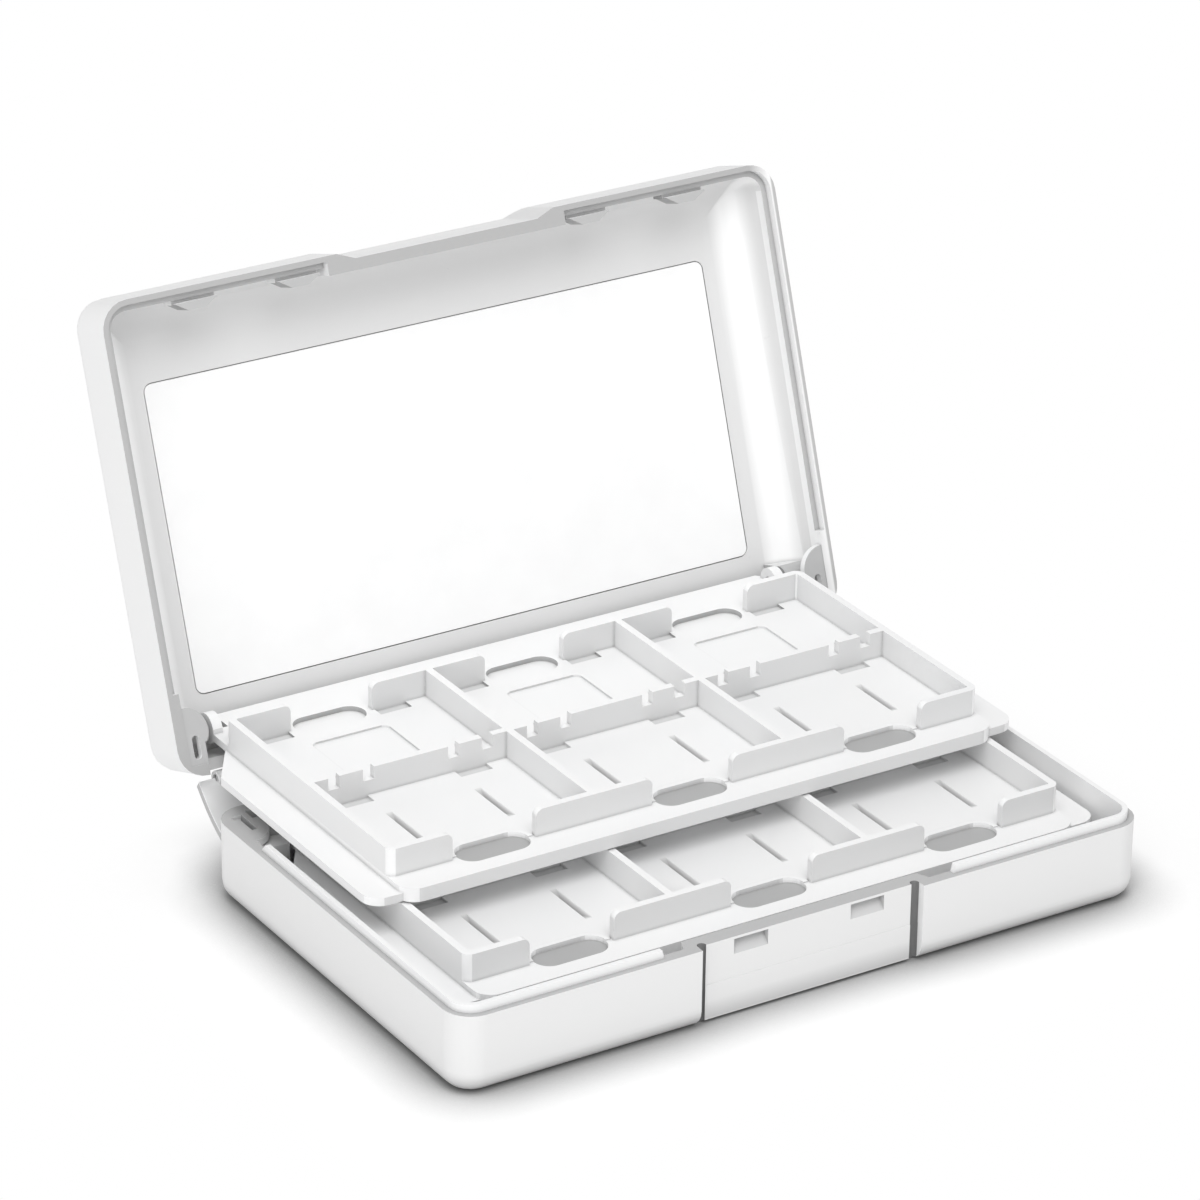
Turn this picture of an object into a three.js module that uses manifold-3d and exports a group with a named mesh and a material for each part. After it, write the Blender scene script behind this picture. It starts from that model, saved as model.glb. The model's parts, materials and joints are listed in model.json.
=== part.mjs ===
// Folding case for small game cards: two stacked trays of six slots in a hinged shell.
// Millimetres. X runs to the right, Y to the rear, Z up, origin under the middle of the base.
// Every piece is built where it lies in the closed case and then moved to the open pose.
import * as THREE from "three";
import { mergeVertices } from "three/addons/utils/BufferGeometryUtils.js";
import Module from "manifold-3d";

const wasm = await Module();
wasm.setup();

// Cards and slots
const cardLength = 31;
const cardWidth = 21;
const cardPlay = 0.8;
const columns = 3;
const rows = 2;

// Trays
const trayWall = 1.2;
const wallHeight = 4.4;
const trayFloor = 1.2;
const skirtDepth = 2.2;
const frontLedge = 4.9;
const rearLedge = 9.4;
const ledgeCorner = 3;
const rearCorner = 2;
const flangeWidth = 4.9;
const flangeThickness = 1.3;
const flangeRearCut = 7.7;
const wallGap = 14;
const wallEndRound = 1.2;
const wallCorner = 1.5;

// Tray slot details, placed from the middle of a slot
const notchWidth = 1.9;
const notchDepth = 2;
const notchInner = 7.2;
const notchOuter = 13;
const noseReach = 0.5;
const noseHeight = 1.4;
const mouldMarkLength = 5.4;
const mouldMarkWidth = 2;
const mouldMarkPlace = 10.1;
const mouldMarkDepth = 0.4;
const grooveSpacing = 15;
const grooveLength = 10;
const grooveWidth = 1.1;
const grooveDepth = 0.6;
const grooveTaper = 2;
const outlineLength = 13.2;
const outlineWidth = 12.4;
const outlineDepth = 0.3;
const detailCorner = 1.2;
const fingerLength = 12;
const fingerWidth = 5.2;
const fingerRim = 0.8;
const fingerRimHeight = 0.2;
const scoopDepth = 0.55;
const pullDepth = 0.8;

// Shell
const caseWall = 1.8;
const sideRoom = 1;
const frontRoom = 4.5;
const rearRoom = 0.8;
const baseHeight = 12.8;
const baseFloor = 1.5;
const lidPlate = 1.5;
const planCorner = 4.5;
const edgeRound = 3;
const baseInnerRound = 2;
const lidInnerRound = 7;
const floorBelowRim = 1.5;
const stackGap = 0.3;
const lidGap = 0.3;
const seatGap = 0.3;
const seatLength = 8;

// Parting rim
const partingGap = 0.1;
const rimLedge = 1;
const lipHeight = 1.3;
const lipPlay = 0.15;
const lipRearEnd = 21.5;
const lipFrontGap = 25;
const lipSlant = 1.5;
const lipFrontSlant = 0.4;

// Front latch bay and thumb recess
const bayHalf = 19;
const bayDepth = 1.2;
const bayThickness = 2.6;
const bayMargin = 2.4;
const bayTaper = 1.2;
const bayGrooveRadius = 0.7;
const bayGrooveSink = 0.25;
const bayStepHeight = 6.2;
const bayStep = 0.06;
const catchPlace = 10;
const catchLength = 5.8;
const catchHeight = 2.5;
const catchDrop = 0.4;
const catchDepth = 1.3;
const catchShelf = 0.7;
const thumbHalf = 16;
const thumbSlant = 3;
const thumbDepth = 1.2;
const clipPlaces = [-43, -25.5, 25.5, 43];
const clipLength = 7.2;
const clipTip = 3;
const clipReach = 1.8;
const clipHeight = 3.8;
const clipGap = 0.5;

// Hinges
const hingeSetback = 1.6;
const baseAxisHeight = 4.6;
const spineLength = 12;
const openAngle = THREE.MathUtils.degToRad(109);
const barrelRadius = 1.3;
const spineThickness = 1.3;
const spineBulge = 0.7;
const hingePinRadius = 0.65;
const hingePinHold = 4;
const hingePinInset = 0.4;
const pinPlay = 0.15;
const earGap = 0.3;
const notchGap = 0.5;
const hingeEarPlace = 44;
const hingeEarWidth = 3.7;
const spineInset = 4;
const barrelInset = 7;
const lidRearCut = 3.4;

// Tray pivots
const pivotAboveFloor = 0;
const restLift = 0;
const trayEarWidth = 1.6;
const trayEarRadius = 2.4;
const pivotPinRadius = 0.85;
const bracketGap = 0.6;
const pivotPinHold = 2.7;
const bracketRadius = 2.2;
const cornerPlate = 1.2;
const cornerPlateGap = 0.2;
const tabRadius = 3.8;
const tabAhead = 1;
const tabTurnStart = 150;
const tabTurnEnd = 270;
const stripWidth = 3;
const hookWidth = 0.9;
const hookLength = 5;
const slotWidthInLid = 1.2;
const slotLengthInLid = 3.6;

// Insert sheet in the lid
const insertLength = 99;
const insertWidth = 47.5;
const insertCentre = 1.9;
const insertCorner = 1.3;
const insertThickness = 0.45;
const insertRecess = 0.6;
const insertPlay = 0.15;

// Fineness of round shapes, the overlap used when solids are joined and the overrun of a cut
const arcSteps = 6;
const cornerSteps = 6;
const roundSteps = 5;
const rodSides = 20;
const corners = 4;
const leastCorner = 0.3;
const hair = 0.01;
const bite = 0.2;
const overrun = 1;

// Derived places across the case
const slotLength = cardLength + 2 * cardPlay;
const slotWidth = cardWidth + 2 * cardPlay;
const columnPitch = slotLength + trayWall;
const rowPitch = slotWidth + trayWall;
const trayHalf = (columns * columnPitch + trayWall) / 2;
const trayDepth = rows * rowPitch + trayWall;
const flangeHalf = trayHalf + flangeWidth;
const innerHalf = flangeHalf + sideRoom;
const caseHalf = innerHalf + caseWall;
const caseDepth = 2 * caseWall + frontRoom + frontLedge + trayDepth + rearLedge + rearRoom;
const caseFront = -caseDepth / 2;
const caseRear = caseDepth / 2;
const innerFront = caseFront + caseWall;
const innerRear = caseRear - caseWall;
const trayFront = innerFront + frontRoom + frontLedge;
const trayRear = trayFront + trayDepth;
const ledgeFront = trayFront - frontLedge;
const ledgeRear = trayRear + rearLedge;
const columnMiddles = [-columnPitch, 0, columnPitch];

// Derived heights
const lowerFloor = baseHeight - floorBelowRim;
const trayPitch = wallHeight + stackGap + skirtDepth;
const upperFloor = lowerFloor + trayPitch;
const lidInside = upperFloor + wallHeight + lidGap;
const closedTop = lidInside + lidPlate;

// Derived hinge places, as seen in the Y-Z plane of the closed case
const halfOpen = openAngle / 2;
const hingeY = caseRear + hingeSetback;
const lidAxisHeight = baseAxisHeight + spineLength;
const pivotHeight = upperFloor + pivotAboveFloor;
const pivotRise = pivotHeight - lidAxisHeight;
const spineDrop = spineLength * (1 - Math.cos(halfOpen));
const pivotAhead = (pivotRise * (1 - Math.cos(openAngle)) + spineDrop + restLift) / Math.sin(openAngle);
const pivotY = hingeY - pivotAhead;
const lowerPivotHeight = lowerFloor + pivotAboveFloor;
const bracketNear = trayHalf + bracketGap;
const bracketFar = innerHalf + bite;
const pivotPinFar = bracketNear + pivotPinHold;
const spineHalf = caseHalf - spineInset;
const barrelHalf = caseHalf - barrelInset;
const hingeEarNear = hingeEarPlace - hingeEarWidth / 2;
const hingeEarFar = hingeEarPlace + hingeEarWidth / 2;
const hingePinNear = hingeEarNear - earGap - hingePinHold;
const rearOpeningHalf = pivotPinFar - earGap;
const stripNear = innerHalf - stripWidth;
const tabMiddle = pivotY - tabAhead;

function solid(geometry) {
  geometry.deleteAttribute("normal");
  geometry.deleteAttribute("uv");
  const merged = mergeVertices(geometry, 1e-5);
  const vertProperties = new Float32Array(merged.attributes.position.array);
  const triVerts = new Uint32Array(merged.index.array);
  return new wasm.Manifold(new wasm.Mesh({ numProp: 3, vertProperties, triVerts }));
}

function joined(solids) {
  return solids.reduce((whole, piece) => whole.add(piece));
}

function span(side, near, far) {
  return side > 0 ? [near, far] : [-far, -near];
}

function block([left, right], [front, rear], [low, high]) {
  const geometry = new THREE.BoxGeometry(right - left, rear - front, high - low);
  geometry.translate((left + right) / 2, (front + rear) / 2, (low + high) / 2);
  return solid(geometry);
}

function extruded(shape, length) {
  return new THREE.ExtrudeGeometry(shape, { depth: length, bevelEnabled: false, curveSegments: arcSteps });
}

function plate(shape, [low, high]) {
  return solid(extruded(shape, high - low).translate(0, 0, low));
}

const axisX = new THREE.Vector3(1, 0, 0);
const axisY = new THREE.Vector3(0, 1, 0);
const axisZ = new THREE.Vector3(0, 0, 1);
const profileToX = new THREE.Matrix4().makeBasis(axisY, axisZ, axisX);
const profileToY = new THREE.Matrix4().makeBasis(axisX, axisZ, axisY.clone().negate());

// A profile drawn in Y and Z, swept along X
function alongX(shape, [left, right]) {
  return solid(extruded(shape, right - left).applyMatrix4(profileToX).translate(left, 0, 0));
}

// A profile drawn in X and Z, swept along Y
function alongY(shape, [front, rear]) {
  return solid(extruded(shape, rear - front).applyMatrix4(profileToY).translate(0, rear, 0));
}

function polygon(points) {
  return new THREE.Shape(points.map(([across, up]) => new THREE.Vector2(across, up)));
}

function roundedRectangle([left, right], [front, rear], radius) {
  const shape = new THREE.Shape();
  shape.absarc(right - radius, rear - radius, radius, 0, Math.PI / 2);
  shape.absarc(left + radius, rear - radius, radius, Math.PI / 2, Math.PI);
  shape.absarc(left + radius, front + radius, radius, Math.PI, 1.5 * Math.PI);
  shape.absarc(right - radius, front + radius, radius, 1.5 * Math.PI, 2 * Math.PI);
  return shape;
}

function oblong(middleX, middleY, length, width) {
  const across = [middleX - length / 2, middleX + length / 2];
  const along = [middleY - width / 2, middleY + width / 2];
  return roundedRectangle(across, along, width / 2 - hair);
}

function disc(middleX, middleY, radius) {
  const shape = new THREE.Shape();
  shape.absarc(middleX, middleY, radius, 0, 2 * Math.PI);
  return shape;
}

function rod(radius, [left, right], y, z) {
  const geometry = new THREE.CylinderGeometry(radius, radius, right - left, rodSides);
  return solid(geometry.rotateZ(Math.PI / 2).translate((left + right) / 2, y, z));
}

// Stack of rounded rectangles, each level giving its height and how far it is drawn in
function roundedBody(levels, half, front, rear, radius, rearShare = 1) {
  const ring = corners * (cornerSteps + 1);
  const position = [];
  const index = [];
  for (const { height, inset } of levels) {
    const bend = Math.max(radius - inset, leastCorner);
    const rearBend = rearShare ? bend : leastCorner;
    const side = half - inset;
    for (let corner = 0; corner < corners; corner += 1) {
      const right = corner === 0 || corner === corners - 1;
      const behind = corner < corners / 2;
      const turn = behind ? rearBend : bend;
      const middleX = right ? side - turn : turn - side;
      const middleY = behind ? rear - inset * rearShare - turn : front + inset + turn;
      for (let step = 0; step <= cornerSteps; step += 1) {
        const angle = (corner + step / cornerSteps) * Math.PI / 2;
        position.push(middleX + turn * Math.cos(angle), middleY + turn * Math.sin(angle), height);
      }
    }
  }
  const top = (levels.length - 1) * ring;
  const bottomMiddle = levels.length * ring;
  const topMiddle = bottomMiddle + 1;
  position.push(0, (front + rear) / 2, levels[0].height);
  position.push(0, (front + rear) / 2, levels[levels.length - 1].height);
  for (let point = 0; point < ring; point += 1) {
    const next = (point + 1) % ring;
    index.push(bottomMiddle, next, point);
    index.push(topMiddle, top + point, top + next);
    for (let start = 0; start < top; start += ring) {
      index.push(start + point, start + next, start + ring + next);
      index.push(start + point, start + ring + next, start + ring + point);
    }
  }
  const geometry = new THREE.BufferGeometry();
  geometry.setAttribute("position", new THREE.Float32BufferAttribute(position, 3));
  geometry.setIndex(index);
  return solid(geometry);
}

// Levels from a rounded closed face to an open face, lowest first
function bowlLevels(closedFace, openFace, radius) {
  const direction = Math.sign(openFace - closedFace);
  const levels = [];
  for (let step = 0; step <= roundSteps; step += 1) {
    const angle = step / roundSteps * Math.PI / 2;
    const height = closedFace + direction * radius * (1 - Math.cos(angle));
    levels.push({ height, inset: radius * (1 - Math.sin(angle)) });
  }
  levels.push({ height: openFace, inset: 0 });
  return levels.sort((first, second) => first.height - second.height);
}

// Straight-sided body following the case outline, drawn in from it by a set amount
function outlineBody(inset, low, high) {
  const levels = [{ height: low, inset }, { height: high, inset }];
  return roundedBody(levels, caseHalf, caseFront, caseRear, planCorner);
}

// Tray outline with rounded front corners and clipped rear corners
function trayOutline(inset, rear) {
  const half = trayHalf - inset;
  const front = ledgeFront + inset;
  const radius = ledgeCorner - inset;
  const shape = new THREE.Shape();
  shape.moveTo(half, rear - rearCorner);
  shape.lineTo(half - rearCorner, rear);
  shape.lineTo(rearCorner - half, rear);
  shape.lineTo(-half, rear - rearCorner);
  shape.absarc(radius - half, front + radius, radius, Math.PI, 1.5 * Math.PI);
  shape.absarc(half - radius, front + radius, radius, 1.5 * Math.PI, 2 * Math.PI);
  return shape;
}

function flangeOutline(side) {
  const inner = trayHalf - trayWall / 2;
  const front = ledgeFront + ledgeCorner;
  const points = [[inner, front - ledgeCorner / 2]];
  for (let step = 0; step <= arcSteps; step += 1) {
    const angle = (step / arcSteps - 1) * Math.PI / 2;
    const across = flangeHalf - ledgeCorner + ledgeCorner * Math.cos(angle);
    points.push([across, front + ledgeCorner / 2 + ledgeCorner * Math.sin(angle)]);
  }
  points.push([flangeHalf, trayRear - flangeRearCut]);
  points.push([trayHalf, trayRear]);
  points.push([inner, trayRear]);
  return polygon(points.map(([across, along]) => [side * across, along]));
}

// Opening between two wall ends, flared at the top so the ends are rounded off
function wallGapOutline(middle, floor) {
  const half = wallGap / 2;
  const top = floor + wallHeight;
  const shape = new THREE.Shape();
  shape.moveTo(middle - half, floor);
  shape.lineTo(middle + half, floor);
  shape.absarc(middle + half + wallEndRound, top - wallEndRound, wallEndRound, Math.PI, Math.PI / 2, true);
  shape.lineTo(middle + half + wallEndRound, top + overrun);
  shape.lineTo(middle - half - wallEndRound, top + overrun);
  shape.absarc(middle - half - wallEndRound, top - wallEndRound, wallEndRound, Math.PI / 2, 0, true);
  return shape;
}

function middleWallNotches(wallY, top) {
  const along = [wallY - trayWall, wallY + trayWall];
  const notches = [];
  for (const middle of columnMiddles) {
    for (const offset of [-notchOuter, -notchInner, notchInner, notchOuter]) {
      const across = [middle + offset - notchWidth / 2, middle + offset + notchWidth / 2];
      notches.push(block(across, along, [top - notchDepth, top + overrun]));
    }
  }
  return joined(notches);
}

function clipNoses(wallY, top) {
  const root = wallY + trayWall / 2;
  const tip = root + noseReach;
  const low = top - bite - noseHeight;
  const profile = polygon([
    [root - bite, low],
    [root, low],
    [tip, low + noseHeight / 2],
    [root, low + noseHeight],
    [root - bite, low + noseHeight],
  ]);
  const half = (notchOuter - notchInner - notchWidth) / 2 - bite;
  const noses = [];
  for (const middle of columnMiddles) {
    for (const side of [-1, 1]) {
      const place = middle + side * (notchInner + notchOuter) / 2;
      noses.push(alongX(profile, [place - half, place + half]));
    }
  }
  return joined(noses);
}

// Outer wall of a tray and the dividing walls between its slots
function trayWalls(heights) {
  const inside = trayHalf - trayWall;
  const outer = roundedRectangle([-trayHalf, trayHalf], [trayFront, trayRear], wallCorner);
  const inner = roundedRectangle(
    [-inside, inside],
    [trayFront + trayWall, trayRear - trayWall],
    wallCorner - trayWall,
  );
  const cut = [heights[0] - overrun, heights[1] + overrun];
  const walls = [plate(outer, heights).subtract(plate(inner, cut))];
  for (let line = 1; line < columns; line += 1) {
    const left = -trayHalf + line * columnPitch;
    walls.push(block([left, left + trayWall], [trayFront + bite, trayRear - bite], heights));
  }
  for (let line = 1; line < rows; line += 1) {
    const front = trayFront + line * rowPitch;
    walls.push(block([bite - trayHalf, trayHalf - bite], [front, front + trayWall], heights));
  }
  return joined(walls);
}

// Tapered V-shaped grooves on either side of the tongue on which a card rocks
function rockerGrooves(middleX, middleY, floor) {
  const top = floor + overrun;
  const low = floor - grooveDepth;
  const half = grooveLength / 2;
  const flare = grooveWidth / 2 * (1 + overrun / grooveDepth);
  const lengthwise = polygon([
    [middleY - half, top],
    [middleY - half, floor],
    [middleY - half + grooveTaper, low],
    [middleY + half - grooveTaper, low],
    [middleY + half, floor],
    [middleY + half, top],
  ]);
  const grooves = [];
  for (const side of [-1, 1]) {
    const place = middleX + side * grooveSpacing / 2;
    const vee = polygon([[place - flare, top], [place, low], [place + flare, top]]);
    const sweep = alongY(vee, [middleY - half, middleY + half]);
    grooves.push(sweep.intersect(alongX(lengthwise, [place - flare, place + flare])));
  }
  return joined(grooves);
}

// Finger scoop under the gap in the front wall, with a raised border on the slot's side
function withFingerScoop(tray, middle, floor) {
  const place = trayFront + trayWall / 2;
  const border = oblong(middle, place, fingerLength + 2 * fingerRim, fingerWidth + 2 * fingerRim);
  const rim = plate(border, [floor - bite, floor + fingerRimHeight]);
  const frontHalf = block([-caseHalf, caseHalf], [caseFront, place], [floor - overrun, floor + overrun]);
  const hollow = oblong(middle, place, fingerLength, fingerWidth);
  return tray
    .add(rim.subtract(frontHalf))
    .subtract(plate(hollow, [floor - scoopDepth, floor + overrun]));
}

function makeTray(floor) {
  const top = floor + wallHeight;
  const bottom = floor - skirtDepth;
  const below = bottom - overrun;
  const above = floor + overrun;
  const middleWallY = (trayFront + trayRear) / 2;

  const skirt = plate(trayOutline(0, ledgeRear), [bottom, floor - bite])
    .subtract(plate(trayOutline(trayWall, ledgeRear + overrun), [below, floor]))
    .subtract(block([-caseHalf, caseHalf], [trayRear, caseRear], [below, floor]));
  const deck = plate(trayOutline(0, ledgeRear), [floor - trayFloor, floor]);
  let tray = joined([deck, skirt, trayWalls([floor - bite, top])]);
  for (const side of [-1, 1]) {
    tray = tray.add(plate(flangeOutline(side), [bottom, bottom + flangeThickness]));
  }

  const frontWall = [trayFront - bite, trayFront + trayWall + bite];
  const rearWall = [trayRear - trayWall - bite, trayRear + bite];
  const frontRowMiddle = trayFront + trayWall + slotWidth / 2;
  const rearRowMiddle = frontRowMiddle + rowPitch;
  const markedWalls = [middleWallY - trayWall / 2, trayRear - trayWall];
  tray = tray.subtract(middleWallNotches(middleWallY, top)).add(clipNoses(middleWallY, top));
  for (const middle of columnMiddles) {
    const gap = wallGapOutline(middle, floor);
    tray = tray.subtract(alongY(gap, frontWall)).subtract(alongY(gap, rearWall));
    tray = withFingerScoop(tray, middle, floor).subtract(rockerGrooves(middle, frontRowMiddle, floor));

    const outlineAcross = [middle - outlineLength / 2, middle + outlineLength / 2];
    const outlineAlong = [rearRowMiddle - outlineWidth / 2, rearRowMiddle + outlineWidth / 2];
    const outline = roundedRectangle(outlineAcross, outlineAlong, detailCorner);
    const pull = oblong(middle, trayRear - trayWall / 2, fingerLength, fingerWidth);
    tray = tray.subtract(plate(outline, [floor - outlineDepth, above]));
    tray = tray.subtract(plate(pull, [floor - pullDepth, above]));

    for (const wallFace of markedWalls) {
      for (const side of [-1, 1]) {
        const place = middle + side * mouldMarkPlace;
        const across = [place - mouldMarkLength / 2, place + mouldMarkLength / 2];
        const along = [wallFace - mouldMarkWidth, wallFace];
        tray = tray.subtract(block(across, along, [floor - mouldMarkDepth, above]));
      }
    }
  }
  const earHeight = floor + pivotAboveFloor;
  for (const side of [-1, 1]) {
    const ear = rod(trayEarRadius, span(side, trayHalf - trayEarWidth, trayHalf), pivotY, earHeight);
    const boreAcross = span(side, trayHalf - 2 * trayEarWidth, caseHalf);
    tray = tray.add(ear).subtract(rod(pivotPinRadius + pinPlay, boreAcross, pivotY, earHeight));
  }
  return tray;
}

function pivotPin(side, height) {
  return rod(pivotPinRadius, span(side, trayHalf - trayEarWidth, pivotPinFar), pivotY, height);
}

// Rounded bracket for a tray pivot, standing on the shell at its root height
function pivotBracket(side, height, root, front = pivotY - bracketRadius) {
  const across = span(side, bracketNear, bracketFar);
  const along = [front, pivotY + bracketRadius];
  const stem = block(across, along, [Math.min(height, root), Math.max(height, root)]);
  return stem.add(rod(bracketRadius, across, pivotY, height));
}

function pivotBore(side, height) {
  return rod(pivotPinRadius + pinPlay, span(side, trayHalf, pivotPinFar + pinPlay), pivotY, height);
}

// Plate in the parting plane that closes a rear corner: a half-round tab ahead of a narrower strip
function cornerPlateSolid(side, heights) {
  const wall = innerHalf + bite;
  const rear = innerRear + bite;
  const firstAngle = THREE.MathUtils.degToRad(tabTurnStart);
  const lastAngle = THREE.MathUtils.degToRad(tabTurnEnd);
  const points = [[wall, rear], [stripNear, rear]];
  points.push([stripNear, tabMiddle + tabRadius * Math.sin(firstAngle)]);
  for (let step = 0; step <= 2 * arcSteps; step += 1) {
    const angle = firstAngle + (lastAngle - firstAngle) * step / (2 * arcSteps);
    points.push([innerHalf + tabRadius * Math.cos(angle), tabMiddle + tabRadius * Math.sin(angle)]);
  }
  points.push([wall, tabMiddle - tabRadius]);
  return plate(polygon(points.map(([across, along]) => [side * across, along])), heights);
}

const slotMiddle = (stripNear + innerHalf) / 2;
const slotRear = innerRear - hookWidth;

// Hook-shaped slot through the base's corner plate
function hookSlot(side, heights) {
  const longAcross = span(side, slotMiddle - hookWidth / 2, slotMiddle + hookWidth / 2);
  const long = block(longAcross, [slotRear - hookLength, slotRear], heights);
  const short = block(span(side, slotMiddle, innerHalf - bite), [slotRear - hookWidth, slotRear], heights);
  return long.add(short);
}

// Round-ended slot through the lid's corner plate
function roundSlot(side, heights) {
  const half = slotWidthInLid / 2;
  const across = [side * slotMiddle - half, side * slotMiddle + half];
  return plate(roundedRectangle(across, [slotRear - slotLengthInLid, slotRear], half - hair), heights);
}

function hingeEar(side, height, root) {
  const across = span(side, hingeEarNear, hingeEarFar);
  const heights = [height - barrelRadius, height + barrelRadius];
  return block(across, [root, hingeY], heights).add(rod(barrelRadius, across, hingeY, height));
}

function hingeBore(side, height) {
  return rod(hingePinRadius + pinPlay, span(side, hingePinNear - pinPlay, barrelHalf + bite), hingeY, height);
}

function hingePin(side, height) {
  return rod(hingePinRadius, span(side, hingePinNear, barrelHalf - hingePinInset), hingeY, height);
}

// Raised lip along the sides and the front of the base
function makeLip() {
  const top = baseHeight + lipHeight;
  const low = baseHeight - overrun;
  const high = top + overrun;
  const ring = outlineBody(rimLedge, baseHeight - bite, top)
    .subtract(outlineBody(caseWall, low, high));
  const rearCut = polygon([
    [lipRearEnd + lipSlant, low],
    [caseRear + overrun, low],
    [caseRear + overrun, high],
    [lipRearEnd - lipSlant, high],
  ]);
  const frontCut = polygon([
    [lipFrontSlant - lipFrontGap, low],
    [lipFrontGap - lipFrontSlant, low],
    [lipFrontGap + lipFrontSlant, high],
    [-lipFrontGap - lipFrontSlant, high],
  ]);
  return ring
    .subtract(alongX(rearCut, [-caseHalf, caseHalf]))
    .subtract(alongY(frontCut, [caseFront - overrun, innerFront + overrun]));
}

// Latch bay in the middle of the base's front: a set-back wall with a groove at each end
function withLatchBay(base, outer) {
  const face = caseFront + bayDepth;
  const back = face + bayThickness;
  const ahead = caseFront - overrun;
  const end = bayHalf + bayMargin;
  const backing = plate(
    polygon([[-end, face], [end, face], [end - bayTaper, back], [bayTaper - end, back]]),
    [baseFloor / 2, baseHeight],
  );
  const full = [-overrun, baseHeight + lipHeight + overrun];
  const across = [-bayHalf, bayHalf];
  let shell = base.add(backing.intersect(outer)).subtract(block(across, [ahead, face], full));
  shell = shell.subtract(block(across, [ahead, face + bayStep], [bayStepHeight, full[1]]));
  const catchTop = baseHeight - catchDrop;
  const pocket = polygon([
    [ahead, catchTop - catchHeight],
    [face, catchTop - catchHeight],
    [face + catchDepth, catchTop - catchShelf],
    [face + catchDepth, catchTop],
    [ahead, catchTop],
  ]);
  for (const side of [-1, 1]) {
    const groove = disc(side * (bayHalf - bayGrooveRadius), face + bayGrooveSink, bayGrooveRadius);
    const catchAcross = span(side, catchPlace - catchLength / 2, catchPlace + catchLength / 2);
    shell = shell.subtract(plate(groove, full)).subtract(alongX(pocket, catchAcross));
  }
  return shell;
}

function makeBase() {
  const outer = roundedBody(bowlLevels(0, baseHeight, edgeRound), caseHalf, caseFront, caseRear, planCorner);
  const inside = roundedBody(
    bowlLevels(baseFloor, baseHeight + overrun, baseInnerRound),
    innerHalf, innerFront, innerRear, planCorner - caseWall,
  );
  let base = withLatchBay(outer.subtract(inside).add(makeLip()), outer);
  const plateHeights = [baseHeight - cornerPlate, baseHeight];
  const plateCut = [plateHeights[0] - overrun, baseHeight + overrun];
  const seatTop = lowerFloor - skirtDepth - seatGap;
  const aboveRim = block([-caseHalf, caseHalf], [lipRearEnd, innerRear], [baseHeight, closedTop]);
  for (const side of [-1, 1]) {
    const seatAcross = span(side, trayHalf + flangeWidth / 2, innerHalf + bite);
    for (const seatFront of [trayFront, trayFront + rowPitch]) {
      base = base.add(block(seatAcross, [seatFront, seatFront + seatLength], [baseFloor - bite, seatTop]));
    }
    const bracket = pivotBracket(side, lowerPivotHeight, baseFloor - bite, trayRear + bracketGap);
    base = base.add(bracket.subtract(aboveRim));
    base = base.add(cornerPlateSolid(side, plateHeights)).subtract(hookSlot(side, plateCut));
    base = base.add(hingeEar(side, baseAxisHeight, innerRear));
    base = base.subtract(pivotBore(side, lowerPivotHeight)).subtract(hingeBore(side, baseAxisHeight));
  }
  return base;
}

// Hooked tongue that hangs from the lid's front wall, with tapered ends
function lidClip(place, rim) {
  const low = rim + clipGap;
  const high = low + clipHeight;
  const root = innerFront + clipGap;
  const half = clipLength / 2;
  const tip = clipTip / 2;
  const tongue = polygon([
    [place - half, root],
    [place + half, root],
    [place + tip, innerFront + clipReach],
    [place - tip, innerFront + clipReach],
  ]);
  const neckLow = baseHeight + lipHeight + clipGap;
  const neck = block([place - half, place + half], [innerFront - bite, root + bite], [neckLow, high]);
  return plate(tongue, [low, high]).add(neck);
}

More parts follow.
